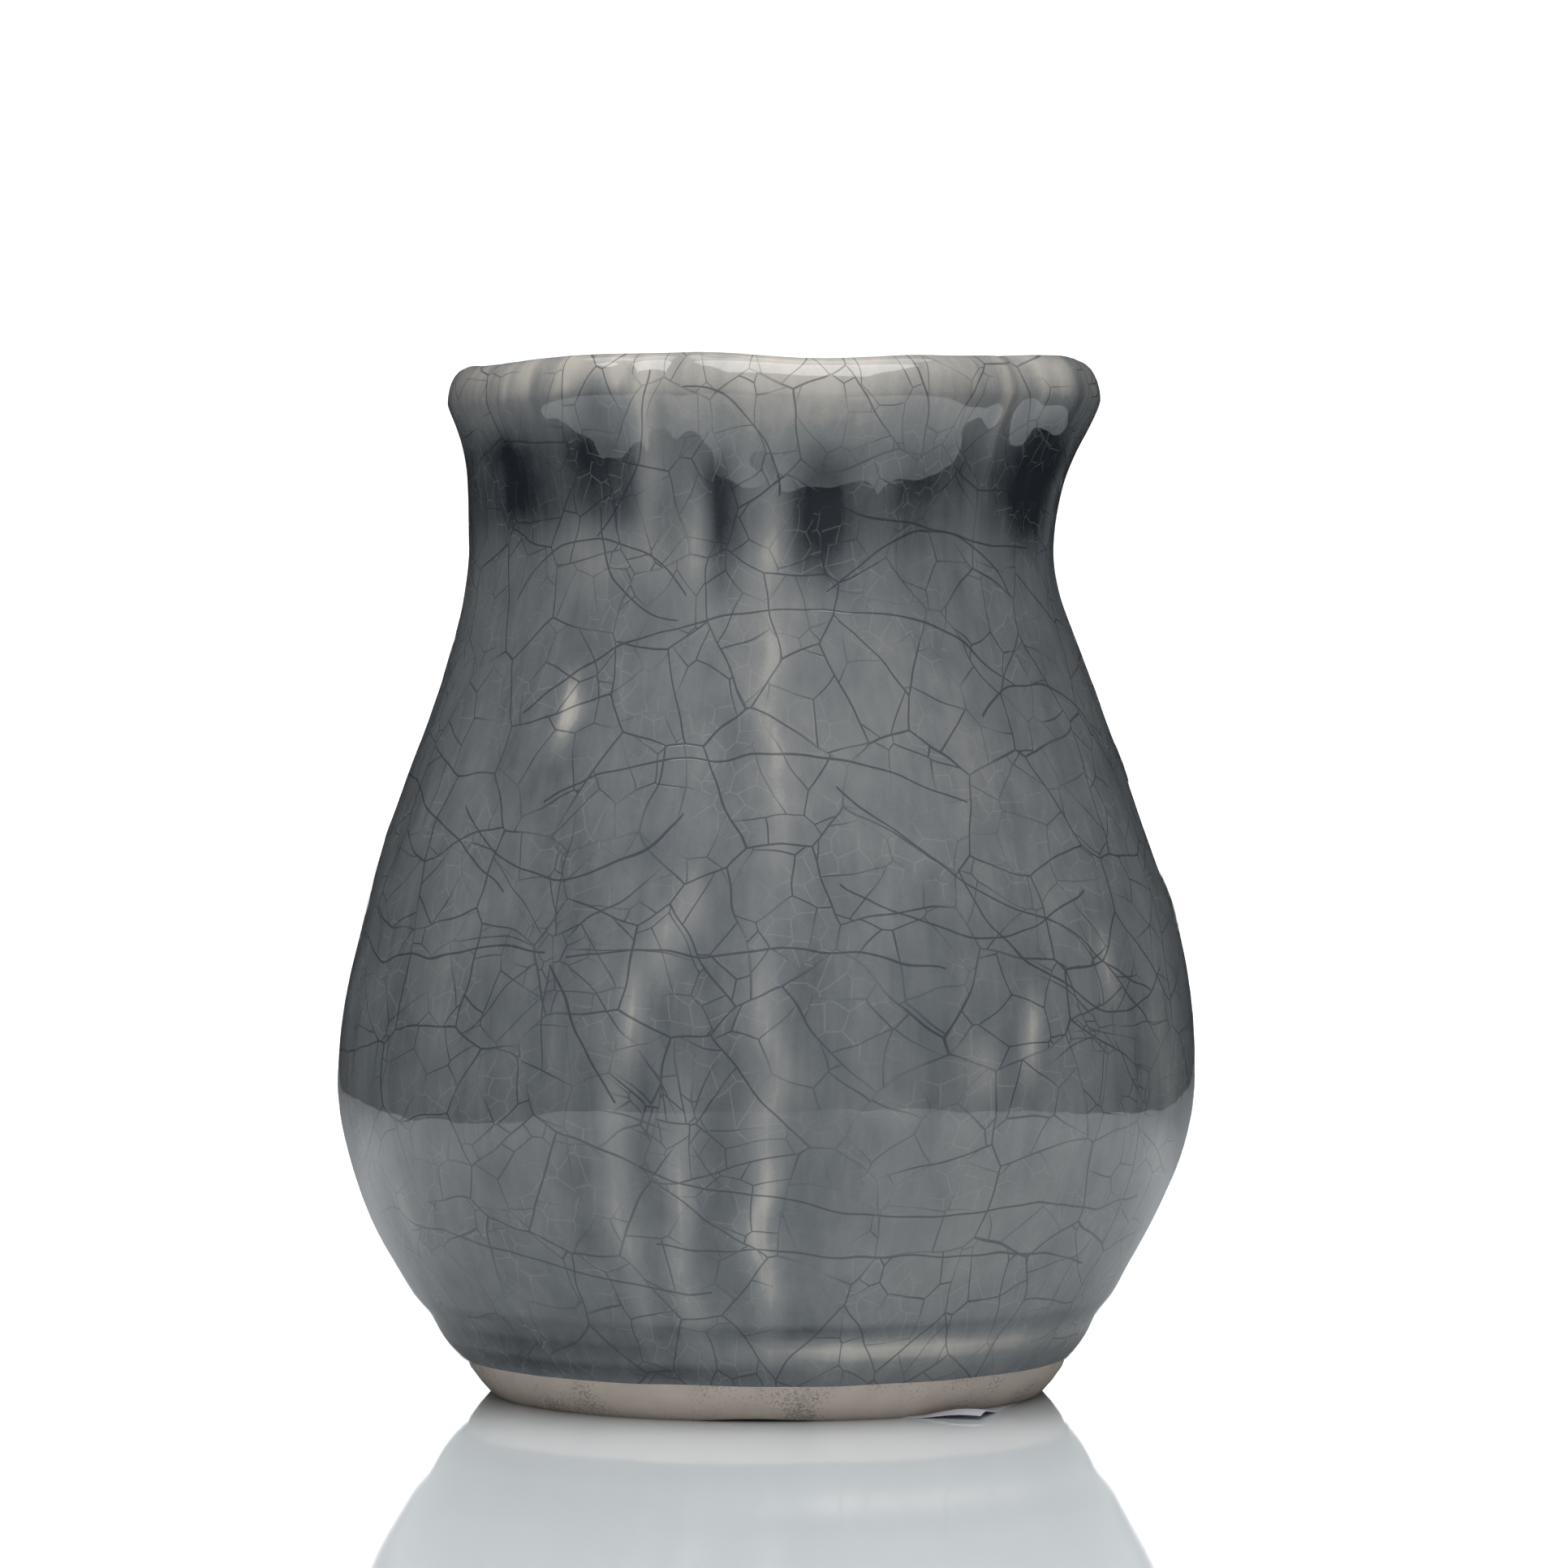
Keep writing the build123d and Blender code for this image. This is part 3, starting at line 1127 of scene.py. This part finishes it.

# Where the glaze runs thin and where it pools, with painted shade under the rim and a painted reflection over
# the front of the rim
GLAZE_RUNS_AND_PAINTED_LIGHT = (
    # Broad changes round the pot; the dark bands under the rim, at 103 to 121 mm, are pooled glaze with
    # painted shade of the rim's overhang
    Run(-47, 104, 120, 9, -0.24),
    Run(-50, 116, 127, 10, 0.16),
    Run(-28, 99, 107, 11, 0.16),
    Run(0, 64, 110, 9, 0.14),
    Run(29, 54, 100, 15, 0.1),
    Run(64, 103, 121, 15, -0.36),
    Run(-82, 103, 121, 15, -0.34),
    # Thin glaze over the front of the rim, with a painted reflection of the bright table in it
    Run(8, 112, 131, 18, 0.36),
    Run(30, 4, 40, 17, 0.22),
    Run(-8, 66, 104, 14, 0.06),
    *(Run(angle, 103, 121, 15, -0.3) for angle in (106, 150, -166, -124)),
    # Round the rim
    Run(-34, 121, 127.5, 3, 0.14, 0.2),
    Run(-26, 121.5, 127.5, 2.2, 0.12, 0.2),
    Run(-47, 121, 127.5, 2.4, 0.2, 0.2),
    Run(56, 119, 127.5, 2.6, 0.3, 0.2),
    Run(63, 120, 127.5, 2.4, 0.25, 0.2),
    Run(-52, 121, 127, 1.2, 0.2, 0.2),
    Run(-43, 119, 125, 1.4, -0.2, 0.2),
    Run(-37, 121.5, 126.5, 1.3, 0.24, 0.2),
    Run(-31, 118, 124, 1.8, -0.22, 0.2),
    Run(-27, 122, 127, 1.2, 0.2, 0.2),
    Run(53.5, 119, 126.5, 1.2, -0.16, 0.2),
    Run(60, 120, 126.5, 1.2, 0.22, 0.2),
    Run(67, 119, 125, 1.6, -0.18, 0.2),
    Run(75, 121, 126.5, 1.6, 0.16, 0.2),
    Run(46.5, 114, 127, 1.3, 0.32, 0.2),
    Run(-29, 113, 121, 5, -0.14),
    # Pools and runs of the neck; the dark pools are pooled glaze with painted shade under the rim
    Run(27, 102, 119, 5, -0.2),
    Run(0.5, 98, 112, 2.2, 0.34, 0.8),
    Run(-22.5, 104, 126, 1.8, 0.38),
    Run(-12.8, 97, 111, 1.8, 0.3),
    Run(43, 96, 112, 2.6, 0.2, 0.4),
    Run(74, 104, 118, 2.2, 0.3),
    Run(-36, 96, 108, 3, 0.14, 0.6),
    Run(-31, 104, 121, 5, -0.3),
    Run(-8.5, 98, 117, 2.9, -0.46),
    Run(10.5, 98, 117, 4.6, -0.5, 0.4),
    Run(62, 105, 122, 4, -0.36),
    Run(-58, 106, 118, 4.6, -0.24, 0.4),
    Run(33, 108, 118, 4, -0.16, 0.4),
    # Runs down the belly
    Run(1, 66, 98, 1.9, 0.22, 0.8),
    Run(0, 8, 66, 2, 0.32, 0.8),
    Run(0, 12, 33, 1.8, 0.28, 0.4),
    Run(-10.5, 57, 67, 2.2, 0.26),
    Run(-13.5, 51, 62, 2.2, 0.34),
    Run(-17, 43, 56, 1.8, 0.4, 0.4),
    Run(-19.3, 10, 47, 2, 0.3, 0.4),
    Run(-11.5, 9, 40, 1.8, 0.4, 0.6),
    Run(-15, 12, 46, 2.4, -0.12, 0.8),
    Run(-6, 12, 50, 2.6, -0.14, 0.8),
    Run(5.5, 10, 42, 2.6, -0.1, 0.8),
    Run(-34.5, 79, 89, 1.6, 0.6, 0.4),
    Run(-32.5, 82, 86, 2.4, 0.25),
    Run(36, 40, 52, 1.7, 0.46, 0.4),
    Run(29, 39, 46, 2.4, 0.3, 0.4),
    Run(52, 49, 58, 1.6, 0.4, 0.4),
    Run(-60.5, 20, 27, 2, 0.25, 0.4),
    Run(-41, 14, 40, 2.4, -0.1, 0.8),
    Run(-24.5, 12, 50, 2.2, -0.12, 0.8),
    Run(22, 12, 46, 2.6, -0.1, 0.8),
    Run(22, 80, 100, 3.2, 0.1, 1),
    Run(14, 28, 66, 2.4, 0.1, 1.2),
    Run(64, 22, 62, 3, 0.12, 1.2),
    Run(-48, 36, 84, 3.6, 0.1, 1.4),
    Run(-13, 42, 58, 2.6, -0.16, 0.8),
    Run(4, 44, 58, 2.4, -0.12, 0.8),
    Run(-6, 70, 92, 2.4, -0.12, 0.8),
    # Round the back; the dark pools at 100 to 116 mm are pooled glaze with painted shade under the rim
    Run(100, 60, 112, 3, 0.26, 1.4),
    Run(126, 16, 80, 3, 0.24, 1.6),
    Run(150, 70, 118, 2.6, 0.3, 1.2),
    Run(172, 20, 96, 3.2, 0.24, 1.6),
    Run(-156, 40, 112, 2.6, 0.26, 1.6),
    Run(-132, 14, 70, 3, 0.24, 1.4),
    Run(-112, 66, 118, 2.8, 0.3, 1.2),
    Run(-90, 20, 84, 3, 0.2, 1.4),
    Run(138, 100, 116, 5, -0.4, 0.4),
    Run(-144, 100, 116, 5, -0.4, 0.4),
    Run(-100, 102, 116, 4.5, -0.3, 0.4),
    Run(112, 102, 116, 4.5, -0.3, 0.4),
)


def lay_flow(piece: Piece) -> None:
    """Marks on each vertex how thin the glaze lies there, 0 deep to 1 bare, with painted shade under the rim,
    a painted highlight on the foot rings and a painted reflection on the rim laid in the same way.

    Args:
        piece: The glazed piece.
    """
    places = np.empty(len(piece.data.vertices) * 3)
    piece.data.vertices.foreach_get("co", places)
    x, y, height = places.reshape(-1, 3).T / MM
    turn = np.arctan2(x, -y)
    angle = np.degrees(turn)
    flow = EVEN_FLOW + sum(run.cover(angle, np.hypot(x, y), height) for run in GLAZE_RUNS_AND_PAINTED_LIGHT)
    uneven = 1.0 + 0.35 * np.sin(turn * 2.0 + 0.8) + 0.25 * np.sin(turn * 5.0)
    # The rings' right side carries a painted highlight, the left side the darker pools
    highlit_right = 0.5 + 0.5 * np.clip(4.0 * np.sin(np.radians(angle + 8.0)), -1.0, 1.0)
    for ring_height, reach, left, right in RING_POOLS_AND_HIGHLIGHT:
        strength = left + (right - left) * highlit_right
        flow += strength * uneven * np.exp(-(((height - ring_height) / reach) ** 2))
    flow += LIP_FLOW * np.clip((height - LIP_START) / LIP_REACH, 0.0, 1.0)
    attribute = piece.data.attributes.new(FLOW, "FLOAT", "POINT")
    attribute.data.foreach_set("value", np.clip(flow, 0.0, 1.0).astype(np.float32))


# ---------------------------------------------------------------- sub-assemblies


@dataclass
class ThrownClay:
    """The fired clay body, seen bare on the foot and underneath."""

    form: Form
    segments: int = 160
    # The sole's rings: radii in the recess, then steps out from its edge, first with
    # shares of its depth and then with heights in mm
    sole_radii: tuple[float, ...] = (3.0, 12.0)
    recess_steps: tuple[Place, ...] = ((-2.0, 1.0), (-0.3, 1.0), (0.3, 0.5))
    recess_rim: tuple[Place, ...] = ((0.9, 0.02), (1.8, 0.0))
    ring_step: float = 1.6

    def build(self) -> Piece:
        """Builds the clay as one closed solid, foot, walls and floor.

        Returns:
            The clay.
        """
        form = self.form
        depth, bevel, foot = form.recess_depth, form.foot_bevel, form.foot_radius
        sole = [(radius, depth) for radius in self.sole_radii]
        sole += [(form.recess_radius + step, depth * share) for step, share in self.recess_steps]
        sole += [(form.recess_radius + step, height) for step, height in self.recess_rim]
        sole += [(foot - self.ring_step, 0.0), (foot - bevel, 0.0), (foot - bevel * 0.35, bevel * 0.25)]
        outer = [place for place in form.clay_line() if place[1] > bevel]
        outline = sole + outer + form.lip(-form.glaze_bed) + form.inner_line(-form.glaze_bed)
        piece = raise_rings("fired_clay", outline, self.segments, capped=True)
        sway_wall(piece, form)
        push_wall(piece, LOBE_PUSHES + NECK_PUSHES + FOOT_WEAR, 360.0 / self.segments)
        smooth(piece, Shade.BY_ANGLE)
        return piece

    def dress(self, piece: Piece) -> None:
        """Gives the clay its finish and its place in the part."""
        place_in_part(piece, BareStoneware().material(), "stoneware_body")


@dataclass
class GlazeCoats:
    """The two coats of glaze: the outer one down to the bare band, and the lining."""

    form: Form
    segments: int = 144
    # The glaze's thin lower edge: its coat, and how the edge rolls in, as
    # (share of the full coat, step down)
    edge_coat: float = 0.1
    edge_roll: tuple[Place, ...] = ((0.0, 0.35), (0.7, 0.1))
    # The unevenness of hand throwing: name, grain and height
    wavers: tuple[tuple[str, float, float], ...] = (("slow_waver", 19.0, 0.5), ("quick_waver", 6.0, 0.1))
    # How much of the coat the mesh is thick
    fill: float = 0.9

    def build(self) -> tuple[Piece, Piece]:
        """Builds both coats as one skin and parts them on the crest of the lip.

        Returns:
            The outer coat and the lining.
        """
        form = self.form
        clay = [place for place in form.outer_line() if place[1] > form.bare_band]
        coated = offset_line(clay, form.glaze)
        edge = offset_line(clay, self.edge_coat)[0]
        roll = [step_off(mix_place(edge, coated[0], share), (0.0, -down)) for share, down in self.edge_roll]
        outline = roll + coated[1:] + form.lip(form.glaze) + form.inner_line(form.glaze)
        skin = raise_rings("outer_coat", outline, self.segments, capped=False)
        sway_wall(skin, form)
        push_wall(skin, LOBE_PUSHES, 360.0 / self.segments)
        shape_with(skin, "rounding", "SUBSURF", levels=1, render_levels=1)
        push_wall(skin, NECK_PUSHES + WALL_PUSHES + EDGE_PUSHES, 180.0 / self.segments)
        self._ruffle(skin)
        lay_flow(skin)
        smooth(skin, Shade.SMOOTH)
        crest = {place.co.copy().freeze(): place.normal.copy() for place in skin.data.vertices}
        lining = self._part_lining(skin)
        for coat in (skin, lining):
            shape_with(coat, "thickness", "SOLIDIFY", thickness=form.glaze * MM * self.fill, offset=-1.0)
            normals = [crest.get(place.co.copy().freeze(), place.normal) for place in coat.data.vertices]
            coat.data.normals_split_custom_set_from_vertices(normals)
        return skin, lining

    def _ruffle(self, skin: Piece) -> None:
        """Gives the wall the slow unevenness of hand throwing.

        Args:
            skin: The skin of both coats.
        """
        for name, grain, height in self.wavers:
            waver = bpy.data.textures.new(name, "CLOUDS")
            waver.noise_scale = grain * MM
            waver.noise_depth = 1
            shape_with(skin, name, "DISPLACE", texture=waver, texture_coords="LOCAL", strength=height * MM)

    def _part_lining(self, skin: Piece) -> Piece:
        """Parts the lining from the outer coat along the crest of the lip.

        Args:
            skin: The skin of both coats, which keeps the outer one.

        Returns:
            The lining.
        """
        outer = self.form.outer_line()
        work_on(skin)
        bpy.ops.object.mode_set(mode="EDIT")
        bpy.ops.mesh.select_mode(type="FACE")
        bpy.ops.mesh.select_all(action="DESELECT")
        mesh = bmesh.from_edit_mesh(skin.data)
        for face in mesh.faces:
            face.select = self._is_lining(face.calc_center_median(), outer)
        bmesh.update_edit_mesh(skin.data)
        bpy.ops.mesh.separate(type="SELECTED")
        bpy.ops.object.mode_set(mode="OBJECT")
        lining = next(piece for piece in bpy.context.selected_objects if piece is not skin)
        lining.name = "lining_coat"
        lining.data.name = "lining_coat"
        return lining

    def _is_lining(self, place: Vector, outer: Sequence[Place]) -> bool:
        """Says whether a place lies on the inner side of the wall's middle.

        Args:
            place: The place, in metres.
            outer: The clay's outer line.

        Returns:
            Whether it does.
        """
        form = self.form
        height = place.z / MM
        radius = math.hypot(place.x, place.y) / MM
        if height >= form.rim_height:
            return radius < form.rim_radius - form.lip_width / 2.0
        nearest = min(outer, key=lambda spot: abs(spot[1] - height))
        return radius < nearest[0] - form.wall / 2.0

    def dress(self, coat: Piece, lining: Piece) -> None:
        """Gives both coats their finish and their places in the part.

        Args:
            coat: The outer coat.
            lining: The lining.
        """
        glaze = CrackleGlaze().material()
        place_in_part(coat, glaze, "outer_glaze")
        place_in_part(lining, glaze, "lining_glaze")


@dataclass
class BaseLabel:
    """The blank paper label caught under the foot, one corner curling out in front."""

    length: float = 30.0
    width: float = 20.0
    thickness: float = 0.12
    corner_out: float = 41.2
    angle: float = 38.0
    turned: float = 36.0
    # Where the paper bends up, as a share of the way to its middle
    bend_share: float = 0.17
    bend_width: float = 1.2
    bend_reach: float = 6.0
    lift: float = 0.85
    gap: float = 0.02
    steps: Sequence[int] = (24, 16)

    def build(self) -> Piece:
        """Builds the label as a thin sheet that bends up behind its corner.

        Returns:
            The label.
        """
        deselect_everything()
        turn = math.radians(self.angle + self.turned)
        half = Vector((self.length / 2.0, self.width / 2.0, 0.0))
        middle = Matrix.Rotation(turn, 3, "Z") @ half
        corner = facing(self.angle) * self.corner_out
        bpy.ops.mesh.primitive_grid_add(
            x_subdivisions=self.steps[0],
            y_subdivisions=self.steps[1],
            size=1.0,
            location=(corner + middle) * MM,
            rotation=(0.0, 0.0, turn),
        )
        piece = bpy.context.object
        piece.name = "paper_label"
        piece.data.name = "paper_label"
        piece.scale = (self.length * MM, self.width * MM, 1.0)
        bpy.ops.object.transform_apply(location=True, rotation=True, scale=True)
        bend = (corner + middle * self.bend_share) * MM
        bpy.ops.object.mode_set(mode="EDIT")
        pick(piece, lambda place, normal: (place - bend).length < self.bend_width * MM)
        drag((0.0, 0.0, self.lift), self.bend_reach)
        bpy.ops.object.mode_set(mode="OBJECT")
        shape_with(piece, "thickness", "SOLIDIFY", thickness=self.thickness * MM, offset=-1.0)
        bpy.ops.object.mode_set(mode="EDIT")
        bpy.ops.mesh.select_all(action="SELECT")
        bpy.ops.mesh.normals_make_consistent(inside=False)
        bpy.ops.transform.translate(value=(0.0, 0.0, (self.thickness + self.gap) * MM))
        bpy.ops.object.mode_set(mode="OBJECT")
        smooth(piece, Shade.BY_ANGLE)
        return piece

    def dress(self, piece: Piece) -> None:
        """Gives the label its finish and its place in the part."""
        place_in_part(piece, LabelPaper().material(), "base_label")


@dataclass(frozen=True)
class SoftLight:
    """One soft rectangular light, in metres and watts."""

    name: str
    place: tuple[float, float, float]
    target: tuple[float, float, float]
    size: Place
    power: float


@dataclass
class Studio:
    """The pale glossy table, the soft light and the camera."""

    table_front: float = 0.3
    table_side: float = 0.25
    table_back: float = 1.55
    table_colour: Colour = (0.82, 0.86, 0.88, 1.0)
    gloss_colour: Colour = (0.97, 0.98, 1.0, 1.0)
    room_colour: Colour = (0.92, 0.96, 1.0, 1.0)
    lights: tuple[SoftLight, ...] = (
        SoftLight("key", (0.0, -0.42, 0.85), (0.0, -0.25, 0.0), (1.0, 0.6), 9.0),
        SoftLight("overhead", (0.0, 0.05, 0.8), (0.0, 0.05, 0.0), (0.7, 0.4), 1.6),
        SoftLight("backdrop", (0.0, 10.0, 1.15), (0.0, 0.0, 1.15), (3.4, 2.5), 56.0),
    )
    camera_distance: float = 0.75
    camera_height: float = 0.0851
    aim: tuple[float, float, float] = (0.00216, 0.0, 0.07496)
    field_of_view: float = 14.73

    def build(self) -> None:
        """Sets up the whole studio."""
        self._table()
        for light in self.lights:
            self._hang(light)
        self._world()
        self._camera()
        bpy.context.scene.view_settings.view_transform = "Standard"

    def _ramp(self, tree: Tree, signal: Signal, start: float, end: float, low: float, high: float) -> Signal:
        """Eases from one value to another.

        Args:
            tree: The node tree.
            signal: What it follows.
            start: Where it begins to change.
            end: Where it has changed.
            low: The value before the start.
            high: The value after the end.

        Returns:
            The eased value.
        """
        inputs = {0: signal, 1: start, 2: end, 3: low, 4: high}
        return add_node(tree, "MapRange", inputs, interpolation_type="SMOOTHSTEP")

    def _table(self) -> None:
        """Lays the table: a thin pale sheet with a mirror-like gloss, and a painted glow at its sides and
        towards the front, with no lamp below it.
        """
        deselect_everything()
        middle = (self.table_back - self.table_front) / 2.0
        bpy.ops.mesh.primitive_plane_add(size=1.0, location=(0.0, middle, 0.0))
        table = bpy.context.object
        table.name = "table"
        table.scale = (self.table_side * 2.0, self.table_front + self.table_back, 1.0)
        bpy.ops.object.transform_apply(location=True, scale=True)
        material, tree = new_material("pale_gloss_table")
        matt = add_node(tree, "BsdfDiffuse", {"Color": self.table_colour})
        gloss = add_node(tree, "BsdfGlossy", {"Color": self.gloss_colour, "Roughness": 0.05})
        sheen = add_node(tree, "Fresnel", {"IOR": 1.5})
        surface = add_node(tree, "MixShader", {0: sheen, 1: matt, 2: gloss})
        parts = add_node(tree, "SeparateXYZ", {0: add_node(tree, "TexCoord").outputs["Object"]})
        away = add_node(tree, "Math", {0: parts.outputs[0]}, operation="ABSOLUTE")
        # Painted glow: the table beside and in front of the pot gives off light of its own, standing in for a
        # brightly lit table
        beside = self._ramp(tree, away, 0.05, 0.15, 0.0, 0.65)
        glow_in_front = self._ramp(tree, parts.outputs[1], 0.02, 0.2, 1.0, 0.0)
        painted_glow = add_node(tree, "Emission", {"Strength": times(tree, beside, glow_in_front)})
        whole = add_node(tree, "AddShader", {0: surface, 1: painted_glow})
        add_node(tree, "OutputMaterial", {"Surface": whole})
        table.data.materials.append(material)

    def _hang(self, light: SoftLight) -> None:
        """Hangs one light so that it faces its target.

        Args:
            light: The light.
        """
        lamp = bpy.data.lights.new(light.name, "AREA")
        lamp.shape = "RECTANGLE"
        lamp.size, lamp.size_y = light.size
        lamp.energy = light.power
        self._point(bpy.data.objects.new(light.name, lamp), light.place, light.target)

    def _point(self, holder: Piece, place: Sequence[float], target: Sequence[float]) -> None:
        """Puts a light or camera in its place and points it at its target.

        Args:
            holder: The light or camera.
            place: Where it stands.
            target: What it faces.
        """
        holder.location = place
        holder.rotation_euler = (Vector(target) - Vector(place)).to_track_quat("-Z", "Y").to_euler()
        bpy.context.collection.objects.link(holder)

    def _world(self) -> None:
        """Lights the room: white behind the pot, dim in front, dark at the sides."""
        world = bpy.data.worlds.new("studio")
        world.use_nodes = True
        tree = world.node_tree
        tree.nodes.clear()
        parts = add_node(tree, "SeparateXYZ", {0: add_node(tree, "TexCoord").outputs["Generated"]})
        front = times(tree, parts.outputs[1], -1.0)
        glow = self._ramp(tree, front, 0.0, 0.95, 0.0, 0.34)
        high = self._ramp(tree, parts.outputs[2], 0.0, 0.35, 0.25, 1.0)
        window = self._ramp(tree, front, 0.8, 1.0, 0.02, 0.26)
        glow = add_node(tree, "Math", {0: glow, 1: high, 2: window}, operation="MULTIPLY_ADD")
        room = add_node(tree, "Background", {"Color": self.room_colour, "Strength": glow})
        white = add_node(tree, "Background", {"Color": (1.0, 1.0, 1.0, 1.0), "Strength": 1.05})
        seen = add_node(tree, "LightPath").outputs["Is Camera Ray"]
        both = add_node(tree, "MixShader", {0: seen, 1: room, 2: white})
        add_node(tree, "OutputWorld", {"Surface": both})
        bpy.context.scene.world = world

    def _camera(self) -> None:
        """Sets the camera low in front of the pot, with a long lens."""
        lens = bpy.data.cameras.new("camera")
        lens.sensor_fit = "HORIZONTAL"
        lens.angle = math.radians(self.field_of_view)
        lens.clip_start = 0.01
        camera = bpy.data.objects.new("camera", lens)
        self._point(camera, (0.0, -self.camera_distance, self.camera_height), self.aim)
        bpy.context.scene.camera = camera


def main() -> None:
    """Builds the vase and the studio in order, and reports each piece."""
    logging.basicConfig(level=logging.INFO, format="%(name)s: %(message)s")
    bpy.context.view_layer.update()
    form = Form()
    clay_work = ThrownClay(form)
    clay = clay_work.build()
    clay_work.dress(clay)
    LOG.info("clay body: %d faces", len(clay.data.polygons))
    coats = GlazeCoats(form)
    coat, lining = coats.build()
    coats.dress(coat, lining)
    LOG.info("outer coat: %d faces", len(coat.data.polygons))
    LOG.info("lining: %d faces", len(lining.data.polygons))
    label_work = BaseLabel()
    label = label_work.build()
    label_work.dress(label)
    LOG.info("label: %d faces", len(label.data.polygons))
    Studio().build()


if __name__ == "__main__":
    main()
